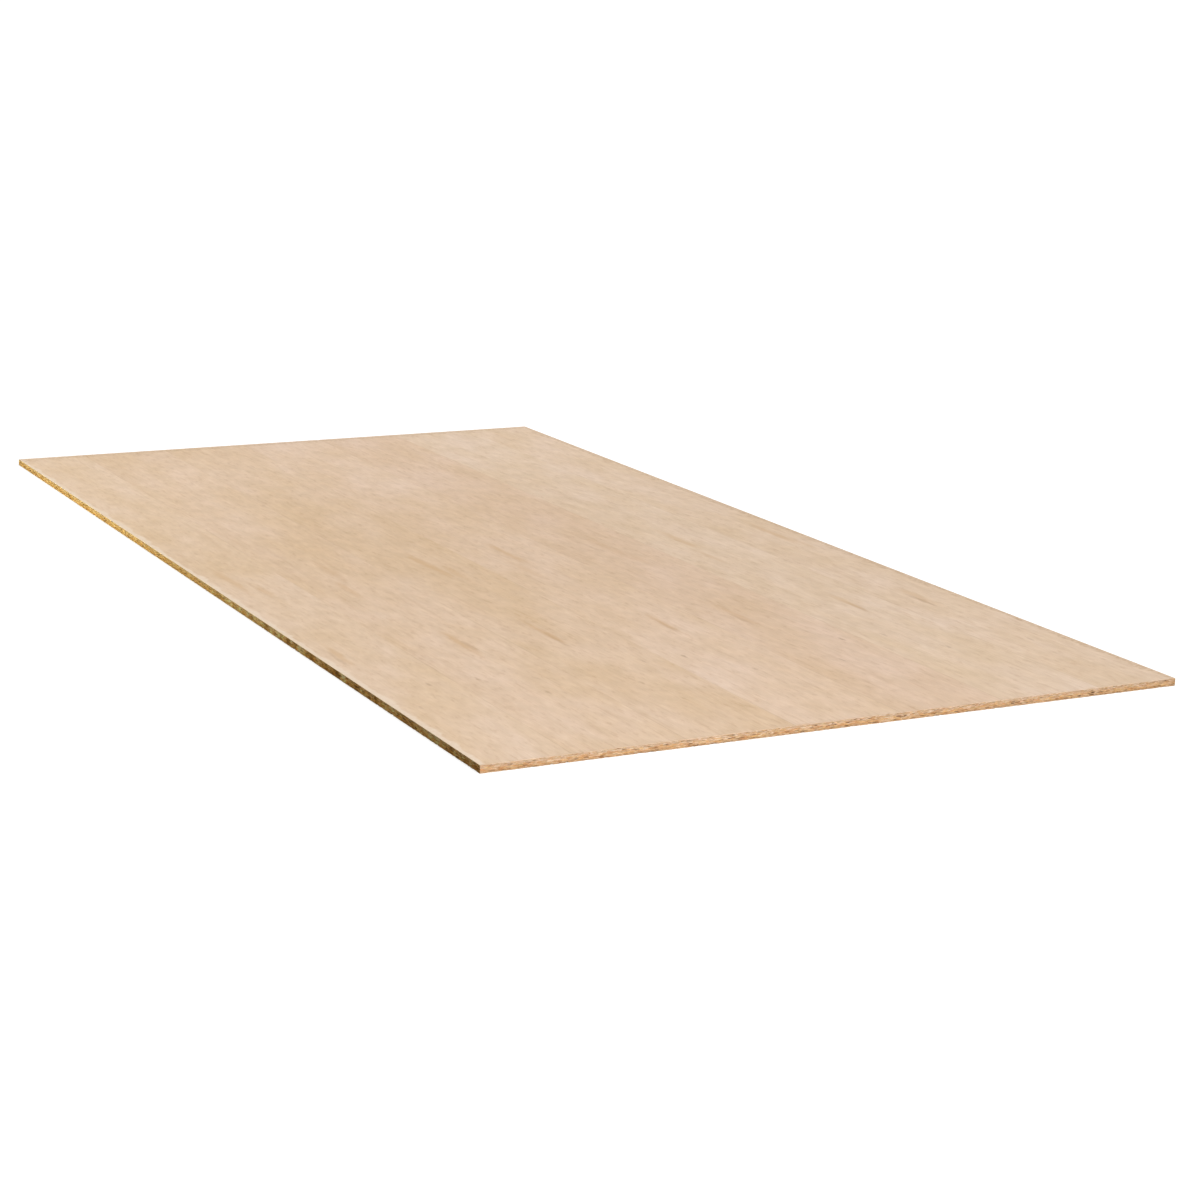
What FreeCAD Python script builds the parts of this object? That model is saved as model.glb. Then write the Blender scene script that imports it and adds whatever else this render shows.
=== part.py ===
import FreeCAD, Part

import os

# A stock sheet of veneered particleboard, 4 ft by 8 ft and half an inch thick, lying flat with its
# good face up. A pressed particleboard core is faced with sliced veneer leaves, spliced edge to
# edge and running the length of the sheet, and is balanced underneath by one plain back veneer.
# Lengths are in millimetres. The origin is the centre of the underside: X runs across the sheet,
# Y along its length and its grain, and Z up to the good face.

SHEET_LENGTH = 2438.4
SHEET_WIDTH = 1219.2
CORE_THICKNESS = 11.5
FACE_VENEER_THICKNESS = 0.6
BACK_VENEER_THICKNESS = 0.6

# The leaves are slices of one log, laid side by side from the -X edge of the sheet. The first and
# the last are cut narrower when the sheet is trimmed to width.
LEAF_WIDTH = 185.0
FIRST_LEAF_WIDTH = 144.0

LEFT_EDGE = -SHEET_WIDTH / 2
RIGHT_EDGE = SHEET_WIDTH / 2
CORE_BOTTOM = BACK_VENEER_THICKNESS
CORE_TOP = CORE_BOTTOM + CORE_THICKNESS


def strip(left, right, bottom, thickness):
    """A flat layer that spans left to right and the whole length of the sheet."""
    corner = FreeCAD.Vector(left, -SHEET_LENGTH / 2, bottom)
    return Part.makeBox(right - left, SHEET_LENGTH, thickness, corner)


def leaf_edges():
    """X of every leaf's edges, from the sheet's -X edge, over each spliced joint, to its +X edge."""
    edges = [LEFT_EDGE]
    joint = LEFT_EDGE + FIRST_LEAF_WIDTH
    while joint < RIGHT_EDGE:
        edges.append(joint)
        joint += LEAF_WIDTH
    return edges + [RIGHT_EDGE]


def back_veneer():
    """The balancing veneer that the sheet rests on."""
    return strip(LEFT_EDGE, RIGHT_EDGE, 0, BACK_VENEER_THICKNESS)


def particle_core():
    """The pressed chip panel, glued between the two veneers."""
    return strip(LEFT_EDGE, RIGHT_EDGE, CORE_BOTTOM, CORE_THICKNESS)


def face_leaves():
    """The leaves of the good face, by node name, each butted against the next on top of the core."""
    edges = leaf_edges()
    return {
        f"face_leaf_{number}": strip(left, right, CORE_TOP, FACE_VENEER_THICKNESS)
        for number, (left, right) in enumerate(zip(edges, edges[1:]), start=1)
    }


def main():
    nodes = {"back_veneer": back_veneer(), "particle_core": particle_core(), **face_leaves()}
    os.makedirs("parts", exist_ok=True)
    for name, solid in nodes.items():
        solid.exportStep(f"parts/{name}.step")
        print(f"{name}: {solid.Volume / 1e6:.3f} litres")


main()
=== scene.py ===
# %% [markdown]
# # A veneered board, from its sawn edge to its sanded face
#
# The board is a panel of pressed wood chips. Its good face is seven leaves of sliced veneer, laid side by
# side, and its underside is one plain sheet of veneer that keeps it from bowing. Nothing on it is curved,
# so the whole look rests on three things: the torn chips along the sawn edges, the hair-thin joints between
# leaves, and the grain. The sizes come from the packed model, which this script loads first and never
# moves.

import math

import bpy
import numpy as np
from mathutils import Matrix, Vector, geometry


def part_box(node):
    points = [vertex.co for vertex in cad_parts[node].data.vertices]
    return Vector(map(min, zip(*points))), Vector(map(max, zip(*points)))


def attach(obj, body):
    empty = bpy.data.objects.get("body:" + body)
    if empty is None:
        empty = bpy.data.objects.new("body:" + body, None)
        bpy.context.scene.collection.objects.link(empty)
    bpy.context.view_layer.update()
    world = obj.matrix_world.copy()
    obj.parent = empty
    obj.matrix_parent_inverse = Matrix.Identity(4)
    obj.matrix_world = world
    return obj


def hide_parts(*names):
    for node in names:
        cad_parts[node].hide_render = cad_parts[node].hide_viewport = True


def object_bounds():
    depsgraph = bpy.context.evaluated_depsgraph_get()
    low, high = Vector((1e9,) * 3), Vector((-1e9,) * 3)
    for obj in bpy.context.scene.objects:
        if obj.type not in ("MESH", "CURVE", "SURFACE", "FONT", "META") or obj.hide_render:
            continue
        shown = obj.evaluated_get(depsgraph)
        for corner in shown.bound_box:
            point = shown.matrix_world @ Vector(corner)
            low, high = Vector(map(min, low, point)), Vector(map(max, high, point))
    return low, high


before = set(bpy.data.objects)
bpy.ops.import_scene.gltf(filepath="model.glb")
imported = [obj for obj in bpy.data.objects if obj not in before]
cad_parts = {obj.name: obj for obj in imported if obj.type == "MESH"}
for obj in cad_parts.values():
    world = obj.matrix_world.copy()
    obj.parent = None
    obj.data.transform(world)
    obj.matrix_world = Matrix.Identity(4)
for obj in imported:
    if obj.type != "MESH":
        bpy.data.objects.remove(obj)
cad_low, cad_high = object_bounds()
MM = 0.001
print("board, mm:", [round((high - low) / MM, 1) for low, high in zip(cad_low, cad_high)])

# %% [markdown]
# ## The pieces and where they lie
#
# Each layer of the board is its own piece in the model. Asking the model where a layer starts and stops is
# safer than writing the numbers again, because a thicker core or a wider leaf then needs no edit here.

# %% Ask the model for each layer
core_low, core_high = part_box("particle_core")
back_low, back_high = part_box("back_veneer")
LEAF_NODES = sorted(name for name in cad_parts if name.startswith("face_leaf_"))
WIDTH = core_high.x - core_low.x
LENGTH = core_high.y - core_low.y
CORE_HEIGHT = core_high.z - core_low.z
print(f"{len(LEAF_NODES)} leaves on a core {CORE_HEIGHT / MM:.1f} mm thick")

# %% [markdown]
# ## One walk round the four sawn sides
#
# The saw leaves four narrow strips of bare chips. Modelled one by one, they would not meet cleanly at the
# corners. So the four sides are unrolled into one long strip, filled with chips, and folded back round the
# board. A point on the strip has a distance along it, a height, and a depth into the wood.

# %% Describe the four sides as one strip
SIDE_STARTS = np.array([
    (core_low.x, core_low.y),
    (core_high.x, core_low.y),
    (core_high.x, core_high.y),
    (core_low.x, core_high.y),
])
SIDE_TRAVEL = np.array([(1, 0), (0, 1), (-1, 0), (0, -1)], float)
SIDE_INWARD = np.array([(0, 1), (-1, 0), (0, -1), (1, 0)], float)
SIDE_LENGTHS = np.array([WIDTH, LENGTH, WIDTH, LENGTH])
CORNERS = np.concatenate([[0], np.cumsum(SIDE_LENGTHS)])
STRIP = CORNERS[-1]
print(f"the strip is {STRIP:.3f} m long")


def on_board(along, depth, side):
    """X and Y of a point this far along the strip and this deep into the wood, on a side."""
    travelled = (along - CORNERS[side])[:, None]
    return SIDE_STARTS[side] + SIDE_TRAVEL[side] * travelled + SIDE_INWARD[side] * depth[:, None]


# %% [markdown]
# ## Where the chips sit
#
# A pressed board has fine chips near both faces and coarse, flat ones in the middle, all lying down.
# Scattering loose chips would leave gaps and overlaps, so the strip is cut into cells with no gaps between
# them. One seed is dropped for each chip, in rows that are fine at the outside and coarse inside, and
# shaken until no row shows. Rows are given as a share of the core's height, so they fit a core of any
# thickness. Most chips lie along the board, so the two short sides show them cut across, and there they
# look shorter.

# %% Drop one seed for each chip
CHIP_ROWS = [  # share of the height, and a chip's length, from the back veneer up
    (0.070, 5.6 * MM),
    (0.075, 6.2 * MM),
    (0.090, 7.6 * MM),
    (0.105, 9.0 * MM),
    (0.115, 9.6 * MM),
    (0.115, 9.0 * MM),
    (0.110, 8.6 * MM),
    (0.100, 8.2 * MM),
    (0.080, 6.8 * MM),
    (0.070, 6.0 * MM),
    (0.070, 5.6 * MM),
]
SHORTENED = (0.75, 1, 0.75, 1)  # how long chips look on the near, right, far and left side
SHAKE_ALONG = 0.50
SHAKE_UP = 0.75
SEED_MARGIN = 0.02


def seeds_for(side, rng):
    """Distance along the strip and height of every chip's seed on one side."""
    rows = []
    height = 0
    for share, chip_length in CHIP_ROWS:
        count = round(SIDE_LENGTHS[side] / (chip_length * SHORTENED[side]))
        along = np.arange(count) + 0.5 + rng.uniform(-SHAKE_ALONG, SHAKE_ALONG, count)
        up = height + share * (0.5 + rng.uniform(-SHAKE_UP, SHAKE_UP, count))
        rows.append(np.stack([CORNERS[side] + along * SIDE_LENGTHS[side] / count, up * CORE_HEIGHT], 1))
        height += share
    seeds = np.concatenate(rows)
    margin = SEED_MARGIN * CORE_HEIGHT
    seeds[:, 1] = seeds[:, 1].clip(margin, CORE_HEIGHT - margin)
    return seeds


chip_rng = np.random.default_rng(7)
side_seeds = [seeds_for(side, chip_rng) for side in range(4)]
print("chips on each side:", [len(seeds) for seeds in side_seeds])

# %% [markdown]
# ## Making the cells end exactly on the corners
#
# A cell's border lies halfway between its seed and the next one. A mirrored seed across a line therefore
# puts a border exactly on that line. The seeds near each upright corner are mirrored round it, and the
# seeds near the top and bottom of the core are mirrored beyond it, as guides that get no chip of their own.

# %% Mirror the seeds at the corners and beyond the two faces
MIRRORED = 12 * MM
ROUND_THE_START = 3 * MIRRORED
GUIDED_BELOW = 0.3 * CORE_HEIGHT
GUIDED_ABOVE = 0.7 * CORE_HEIGHT

for side in range(4):
    after = (side + 1) % 4
    corner = CORNERS[side + 1]
    start = CORNERS[after]
    ending = side_seeds[side][side_seeds[side][:, 0] > corner - MIRRORED]
    kept = side_seeds[after][side_seeds[after][:, 0] >= start + MIRRORED]
    mirrored = np.stack([start + corner - ending[:, 0], ending[:, 1]], 1)
    side_seeds[after] = np.concatenate([kept, mirrored])

chips = np.concatenate(side_seeds)
chip_side = np.repeat(np.arange(4), [len(seeds) for seeds in side_seeds])
before = chips[chips[:, 0] > STRIP - ROUND_THE_START] - (STRIP, 0)
behind = chips[chips[:, 0] < ROUND_THE_START] + (STRIP, 0)
round_the_strip = np.concatenate([chips, before, behind])
low = round_the_strip[round_the_strip[:, 1] < GUIDED_BELOW]
high = round_the_strip[round_the_strip[:, 1] > GUIDED_ABOVE]
guides = [low * (1, -1), high * (1, -1) + (0, 2 * CORE_HEIGHT)]
seeds = np.concatenate([round_the_strip, *guides])
print(f"{len(chips)} chips, and {len(seeds) - len(chips)} guides")

# %% [markdown]
# ## From seeds to chip outlines
#
# Blender can join points into a net of triangles. The centre of the circle through each triangle is where
# three cells meet, so those centres, taken in order round a seed, are the outline of its chip. The strip is
# squeezed lengthwise first and stretched back afterwards, which makes every cell a long, flat sliver that
# is pointed at both ends. Corners closer together than about a tenth of a millimetre are merged.

# %% Join the seeds into a net of triangles
SLIVER = 6.0
SAME_POINT = 1e-7
points = seeds / (SLIVER, 1)
net = geometry.delaunay_2d_cdt([Vector(p) for p in points / MM], [], [], 0, SAME_POINT)
triangles = np.array([[net[3][i][0] for i in face] for face in net[2]])
print(f"{len(seeds)} seeds joined by {len(triangles)} triangles")

# %% [markdown]
# ## Where the cells meet
#
# Three chips meet in the centre of the circle through their seeds. Blender has no tool for thousands of
# such circles at once, so a formula gives them all together. The centres are then put on a fine lattice,
# because two that are nearly the same have to become exactly the same for the skin to close.

# %% Find where the cells meet
MERGE = 0.12 * MM
LATTICE = 0.01 * MM
NEAR_A_FACE = 0.7 * MERGE


def circle_centres(a, b, c):
    """The centre of the circle through three points, for many threes at once."""
    b = b - a
    c = c - a
    twice_area = 2 * (b[:, 0] * c[:, 1] - b[:, 1] * c[:, 0])
    b_squared = (b**2).sum(1)
    c_squared = (c**2).sum(1)
    x = (c[:, 1] * b_squared - b[:, 1] * c_squared) / twice_area
    y = (b[:, 0] * c_squared - c[:, 0] * b_squared) / twice_area
    return a + np.stack([x, y], 1)


centres = circle_centres(*(points[triangles[:, k]] for k in range(3))) * (SLIVER, 1)
along = np.round(centres[:, 0] / MERGE) * MERGE
up = np.round(centres[:, 1] / MERGE) * MERGE
for corner in CORNERS:
    along[abs(along - corner) < MERGE] = corner
up[abs(up) < NEAR_A_FACE] = 0
up[abs(up - CORE_HEIGHT) < NEAR_A_FACE] = CORE_HEIGHT
lattice = np.round(np.stack([along % STRIP, up], 1) / LATTICE).astype(int)
lattice[lattice[:, 0] == round(STRIP / LATTICE), 0] = 0
meeting, meeting_of = np.unique(lattice, axis=0, return_inverse=True)
meeting_of = meeting_of.ravel()
print(f"{len(triangles)} triangles meet in {len(meeting)} places")

# %% [markdown]
# ## Reading the outlines
#
# Each chip's outline runs through the meeting places round its seed. Following them chip by chip would be
# slow, so all corners of all triangles are sorted once, by chip and then by direction. Each chip's stretch
# of that list is its outline.

# %% Read off each chip's outline
owner = triangles.ravel()
triangle = np.repeat(np.arange(len(triangles)), 3)
wanted = owner < len(chips)
owner = owner[wanted]
triangle = triangle[wanted]
from_seed = centres[triangle] - seeds[owner]
turn = np.arctan2(from_seed[:, 1], from_seed[:, 0] / SLIVER)
order = np.lexsort((turn, owner))
starts = np.searchsorted(owner[order], np.arange(len(chips)))
rings = np.split(order, starts[1:])


def without_repeats(ring):
    """An outline with each merged corner kept once."""
    return [corner for k, corner in enumerate(ring) if corner != ring[k - 1]]


outlines = [without_repeats(meeting_of[triangle[ring]].tolist()) for ring in rings]
print("corners of a chip, on average:", round(np.mean([len(outline) for outline in outlines]), 2))

# %% [markdown]
# ## How deep each chip sits
#
# The saw leaves most chips almost flush, tears some out a little, and opens a few holes in the loose middle
# of the board. Where it leaves the wood, at the lower edge, it breaks small bites off. The bites are worked
# out once, as a depth for every place along the strip, because the back veneer has to be bitten in the same
# places. The four corners stay sharp, so the bites fade out before they reach one, and the left side is
# bitten least.

# %% Bite the lower edge
BITE_SPACING = 3.4 * MM
BITE_SIZE = 0.75 * MM
TOO_SHALLOW = 0.5 * MM
DEEPEST_BITE = 3.2 * MM
CLEAN_CORNER = 12 * MM
BITE_SHARES = (1.0, 1.0, 0.7, 0.35, 0.5)  # how deep the bites are, at each corner round the strip

bite_places = np.arange(0, STRIP, BITE_SPACING)
bite_depths = (chip_rng.gamma(1.1, BITE_SIZE, len(bite_places)) - TOO_SHALLOW).clip(0, DEEPEST_BITE)
from_corner = abs(bite_places[:, None] - CORNERS).min(1)
bite_depths *= (from_corner / CLEAN_CORNER - 0.5).clip(0, 1)
bite_depths *= np.interp(bite_places, CORNERS, BITE_SHARES)


def bitten(along):
    """How deep the lower edge is broken off at a place on the strip."""
    return np.interp(along, bite_places, bite_depths, period=STRIP)


print(f"{(bite_depths > 0).sum()} bites, the deepest {bite_depths.max() / MM:.2f} mm")

# %% [markdown]
# ## Flush chips, torn chips and holes
#
# Looking closely at a sawn edge, most chips are cut level and only some are torn or gone. One random number
# for each chip decides which it is, so no chip can be both, and the outer, denser chips tear half as often.

# %% Set the depth of every chip
BITE_HEIGHT = 2.6 * MM
LOOSE_MIDDLE = 0.32
FLUSH_DEPTH = 0.1 * MM
TORN_SHARE = 0.22
TORN_DEPTHS = (0.1 * MM, 0.38 * MM)
HOLE_SHARE = 0.035
HOLE_DEPTHS = (0.5 * MM, 1.1 * MM)

amount = chip_rng.uniform(0, 1, len(chips))
height_share = chips[:, 1] / CORE_HEIGHT
in_middle = abs(height_share - 0.5) < LOOSE_MIDDLE
chip_depth = chip_rng.uniform(0, FLUSH_DEPTH, len(chips))
torn = amount < np.where(in_middle, TORN_SHARE, 0.5 * TORN_SHARE)
chip_depth[torn] += chip_rng.uniform(*TORN_DEPTHS, torn.sum())
hole = in_middle & (amount > 1 - HOLE_SHARE)
chip_depth[hole] += chip_rng.uniform(*HOLE_DEPTHS, hole.sum())
chip_depth += bitten(chips[:, 0]) * (1 - chips[:, 1] / BITE_HEIGHT).clip(0, 1)
print(f"{torn.sum()} torn chips, and {hole.sum()} holes up to {chip_depth[hole].max() / MM:.2f} mm deep")
print(f"with the bites, the deepest chip is {chip_depth.max() / MM:.2f} mm in")

# %% [markdown]
# ## The colour of each chip
#
# The chips come from many trees and from bark, so neighbours differ far more than two spots on one plank.
# Each chip gets one colour from a short list, brightened or darkened a little. Chips in a hole are darker,
# because little light gets in. On this board the chips under the good face are fine, pale and even, and
# further down they turn coarser and more orange, so a tint follows the height. At the very bottom the same
# tint also darkens the chips, as painted shade where the edge meets the floor.

# %% Choose a kind of wood for every chip
CHIP_COLOURS = np.array([
    (0.67, 0.460, 0.275),  # plain chip
    (0.73, 0.480, 0.235),  # honey, thick with glue
    (0.79, 0.605, 0.415),  # pale sapwood
    (0.60, 0.330, 0.155),  # red-brown
    (0.38, 0.210, 0.100),  # dark heartwood
    (0.17, 0.090, 0.045),  # bark
])
COARSE_MIX = (0.38, 0.21, 0.16, 0.17, 0.065, 0.015)
FINE_MIX = (0.52, 0.12, 0.25, 0.09, 0.018, 0.002)
FINE_FROM = 0.66
# The tints follow the height; the lowest one also darkens the chips next to the floor as painted shade.
TINT_HEIGHTS = (0, 0.3, 0.6, 1)
TINTS_AND_FLOOR_SHADE = ((0.84, 0.97, 1.02, 0.93), (0.76, 0.88, 0.99, 0.93), (0.70, 0.81, 1.02, 1.04))

kind = np.where(
    height_share < FINE_FROM,
    chip_rng.choice(len(CHIP_COLOURS), len(chips), p=COARSE_MIX),
    chip_rng.choice(len(CHIP_COLOURS), len(chips), p=FINE_MIX),
)
print("chips of each kind:", np.bincount(kind).tolist())

# %% [markdown]
# ## Patches of chips
#
# A board is pressed from a mat that was not spread evenly, so several chips together are darker or paler,
# and a darker patch is also a browner one. One shade for each chip alone would look like salt and pepper
# from afar. The near end is the most even side. On the left side, above all about a third of the way from
# its near corner, the chips are made far more uneven: that is painted relief shade of raised and sunk chips
# in the shaded part of that edge. Each chip's final colour is stored on the mesh.

# %% Shade the chips, alone and in patches
# The large values on the left side, near its near corner, are painted relief shade, not only an uneven mat.
UNEVEN_PLACES = (*CORNERS[:3], STRIP - 0.55 * LENGTH, STRIP - 0.3 * LENGTH, STRIP)
PATCHES = [  # length, and how uneven the strip is at each of those places
    (13 * MM, (0.008, 0.015, 0.050, 0.045, 0.320, 0.150)),
    (50 * MM, (0.003, 0.008, 0.030, 0.015, 0.240, 0.070)),
]
PATCH_POWERS = (1.0, 1.3, 2.0)
CHIP_UNEVEN_AND_SHADE = (1.0, 1.0, 1.2, 1.2, 4.2, 3.0)
CHIP_SHADE = 0.08
CHIP_HUE = 0.02
SHADE_LIMITS = (0.5, 1.5)
HOLE_SHADE = 0.55
COLOUR_LIMITS = (0.02, 0.85)

patch = np.ones(len(chips))
for patch_length, unevenness in PATCHES:
    places = np.arange(0, STRIP, patch_length)
    shades = chip_rng.normal(0, 1, len(places)) * np.interp(places, UNEVEN_PLACES, unevenness)
    patch += np.interp(chips[:, 0], places, shades)
# Stronger on the left side, where the extra spread is painted relief shade.
uneven = np.interp(chips[:, 0], UNEVEN_PLACES, CHIP_UNEVEN_AND_SHADE)[:, None]
shade = 1 + uneven * chip_rng.normal(0, CHIP_SHADE, (len(chips), 1))
shade = shade.clip(*SHADE_LIMITS) * chip_rng.normal(1, CHIP_HUE, (len(chips), 3))
shade *= patch.clip(*SHADE_LIMITS)[:, None] ** PATCH_POWERS
shade *= np.where(hole, HOLE_SHADE, 1)[:, None]
# The height tint, which also paints shade on the lowest chips.
tint = np.stack([np.interp(height_share, TINT_HEIGHTS, channel) for channel in TINTS_AND_FLOOR_SHADE], 1)
chip_colour = (CHIP_COLOURS[kind] * shade * tint).clip(*COLOUR_LIMITS)
print("average chip colour:", chip_colour.mean(0).round(3))

# %% [markdown]
# ## A helper that turns points and faces into a piece
#
# Every piece below ends the same way: points and faces become a mesh, the mesh becomes an object, the
# object is hung under the board's root, and the part of the packed model that it replaces is hidden. A flat
# map of the surface, called OFBake, goes with it, so that the colours can be painted on to a picture
# without wasting room on faces that nobody sees.

# %% Make a piece from points, faces and a flat map
def make_piece(name, points, faces, flat_map, node):
    """A mesh object that stands for one layer of the board."""
    mesh = bpy.data.meshes.new(name)
    mesh.from_pydata(points, [], faces)
    mesh.uv_layers.new(name="OFBake").uv.foreach_set("vector", np.float32(flat_map).ravel())
    mesh.validate()
    piece = bpy.data.objects.new(name, mesh)
    bpy.context.scene.collection.objects.link(piece)
    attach(piece, "root")
    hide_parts(node)
    triangles = sum(len(face) - 2 for face in faces)
    print(f"{name}: {triangles} triangles")
    return piece


print("pieces to make:", len(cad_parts))

# %% [markdown]
# ## Building the core
#
# Each chip becomes a flat plate, slightly smaller than its outline and slightly tilted, and sloping walls
# join it to its neighbours down in the cracks. Most cracks are shallow, and about one in five gapes.
# Neighbours share their crack, so the whole edge is one closed skin. Two large flat faces, which the
# veneers cover, close the core above and below.

# %% Place the cracks between chips
CRACK = 0.07 * MM
CRACK_DEPTH = 0.05 * MM
OPEN_SHARE = 0.22
OPEN_DEPTH = 0.30 * MM
GLUE_LINE_DEPTH = 0.05 * MM

meeting_along = meeting[:, 0] * LATTICE
meeting_up = meeting[:, 1] * LATTICE
meeting_up[abs(meeting_up - CORE_HEIGHT) < 2 * LATTICE] = CORE_HEIGHT
used = np.unique(np.concatenate(outlines))
new_number = np.full(len(meeting), -1)
new_number[used] = np.arange(len(used))

deepest = np.zeros(len(meeting))
for outline, depth in zip(outlines, chip_depth):
    deepest[outline] = np.maximum(deepest[outline], depth)
crack_depth = deepest + CRACK_DEPTH
opened = chip_rng.uniform(0, 1, len(meeting)) < OPEN_SHARE
crack_depth[opened] += chip_rng.uniform(0, OPEN_DEPTH, opened.sum())
on_face = (meeting_up == 0) | (meeting_up == CORE_HEIGHT)
crack_depth[on_face] = deepest[on_face] + GLUE_LINE_DEPTH
print(f"{len(used)} crack corners, the deepest {crack_depth[used].max() / MM:.2f} mm in")

# %% [markdown]
# ## Folding the cracks round the board
#
# Two sawn sides meet in a square, upright edge. Bending the strip round it would pull points off the saw
# lines, so each crack corner goes straight to its own side. The ones on an upright edge are sunk from both
# sides at once, and so the two sides share them.

# %% Fold the cracks round the board
crack_side = (np.searchsorted(CORNERS, meeting_along, side="right") - 1).clip(0, 3)
crack_xy = on_board(meeting_along, crack_depth, crack_side)
for corner, side in zip(CORNERS[:4], range(4)):
    upright = abs(meeting_along - corner) < 0.5 * MERGE
    both_ways = SIDE_INWARD[side] + SIDE_INWARD[side - 1]
    crack_xy[upright] = SIDE_STARTS[side] + both_ways * crack_depth[upright][:, None]
crack_points = np.column_stack([crack_xy, core_low.z + meeting_up])[used]
print(f"{len(crack_points)} crack corners are on the board")

# %% [markdown]
# ## A flat map in rows
#
# The strip is seven metres long and a centimetre high, which would waste nearly all of a square map. Cut
# into rows and stacked like lines of writing, it fills the map. Each row keeps a little space round it, so
# that no colour runs over into the next.

# %% Lay the strip out in rows
MAP_ROWS = 28
MAP_ROW_LENGTH = STRIP / MAP_ROWS
SIDE_MARGIN = 0.01
ROW_STARTS, ROW_WIDTH = 0.04, 0.92
ROW_RISES, ROW_HEIGHT = 0.08, 0.84


def flat_place(along, up, row):
    """Where a point of the strip lies on the flat map, which holds the strip in rows."""
    in_row = (along - row * MAP_ROW_LENGTH) / MAP_ROW_LENGTH * ROW_WIDTH + ROW_STARTS
    upward = (row + ROW_RISES + ROW_HEIGHT * up / CORE_HEIGHT) / (MAP_ROWS + 1)
    return np.stack([SIDE_MARGIN + (1 - 2 * SIDE_MARGIN) * in_row, upward], 1)


print(f"{MAP_ROWS} rows of {MAP_ROW_LENGTH:.3f} m")

# %% [markdown]
# ## The shape of one chip
#
# A chip is a plate with its corners drawn in a little, which leaves the crack, and with a lean of its own,
# which catches the light. A plate that leaned out of the board would break the saw's flat cut, so the depth
# never falls below zero.

# %% Shape one plate
TILT_ALONG = 0.015
TILT_UP = 0.06
chip_tilts = chip_rng.normal(0, 1, (len(chips), 2)) * (TILT_ALONG, TILT_UP)


def chip_corners(number):
    """Distance along the strip and height of the corners of a chip's outline."""
    corner_along = meeting_along[outlines[number]]
    if chip_side[number] == 3:
        corner_along = np.where(corner_along < 0.5 * MERGE, STRIP, corner_along)
    return corner_along, meeting_up[outlines[number]]


def chip_plate(number, corner_along, corner_up, middle):
    """Distance along the strip, height, and depth of the corners of a chip's plate."""
    to_middle = middle - np.stack([corner_along, corner_up], 1)
    moved = np.sign(to_middle) * np.minimum(abs(to_middle) * 0.5, CRACK)
    along = corner_along + moved[:, 0]
    up = corner_up + moved[:, 1]
    lean = (along - middle[0]) * chip_tilts[number, 0] + (up - middle[1]) * chip_tilts[number, 1]
    return along, up, (chip_depth[number] + lean).clip(0)


print(f"{len(chip_tilts)} plates, with a lean of their own")

# %% [markdown]
# ## Plates and walls
#
# Every chip adds one face for its plate, and a ring of sloping walls down to the shared corners of the
# cracks. The walls are a little darker than the plate, because a crack holds dust and sees less light.
# Loose plates would be simpler, but one could look between them into an empty board.

# %% Raise a plate for every chip
WALL_SHADE = 0.84
core_points = [tuple(point) for point in crack_points]
core_faces = []
core_map = []
face_colours = []

for number, outline in enumerate(outlines):
    corner_along, corner_up = chip_corners(number)
    middle = np.array([corner_along.mean(), corner_up.mean()])
    plate_along, plate_up, depth = chip_plate(number, corner_along, corner_up, middle)
    xy = on_board(plate_along, depth, np.full(len(outline), chip_side[number]))
    first = len(core_points)
    core_points += [tuple(p) for p in np.column_stack([xy, core_low.z + plate_up])]
    row = int(middle[0] // MAP_ROW_LENGTH)
    plate_map = flat_place(plate_along, plate_up, row)
    crack_map = flat_place(corner_along, corner_up, row)
    size = len(outline)
    core_faces.append([first + k for k in range(size)])
    core_map.append(plate_map)
    face_colours.append(chip_colour[number])
    for k in range(size):
        after = (k + 1) % size
        core_faces.append([new_number[outline[k]], new_number[outline[after]], first + after, first + k])
        core_map.append(np.stack([crack_map[k], crack_map[after], plate_map[after], plate_map[k]]))
        face_colours.append(chip_colour[number] * WALL_SHADE)
print(f"{len(core_faces)} faces round the edge")

# %% [markdown]
# ## Closing the core
#
# Above and below, the core is glued to veneer and hardly seen. One large face at each level is enough, and
# it takes its corners from the edge, so that the skin has no gap. Both faces share the last row of the flat
# map.

# %% Close the core above and below
LAST_ROW = (MAP_ROWS + 0.1) / (MAP_ROWS + 1)
LAST_ROW_HEIGHT = 0.8 / (MAP_ROWS + 1)
CAP_WIDTH = 0.46
CAP_STARTS = (0.02, 0.52)
CAP_COLOUR = CHIP_COLOURS[0]

for level, is_top in ((0, False), (CORE_HEIGHT, True)):
    rim = used[meeting_up[used] == level]
    rim = rim[np.argsort(meeting_along[rim])]
    loop = new_number[rim].tolist()
    if not is_top:
        loop = loop[::-1]
    core_faces.append(loop)
    xy = np.array([core_points[k][:2] for k in loop])
    share = (xy - SIDE_STARTS[0]) / (WIDTH, LENGTH)
    across = CAP_STARTS[is_top] + CAP_WIDTH * share[:, 0]
    core_map.append(np.stack([across, LAST_ROW + LAST_ROW_HEIGHT * share[:, 1]], 1))
    face_colours.append(CAP_COLOUR)

chip_core = make_piece(
    "chip_core", core_points, core_faces, np.concatenate(core_map), "particle_core"
)
stored = chip_core.data.attributes.new("chip_colour", "FLOAT_COLOR", "FACE")
with_alpha = np.column_stack([face_colours, np.ones(len(face_colours))])
stored.data.foreach_set("color", np.float32(with_alpha).ravel())

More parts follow.
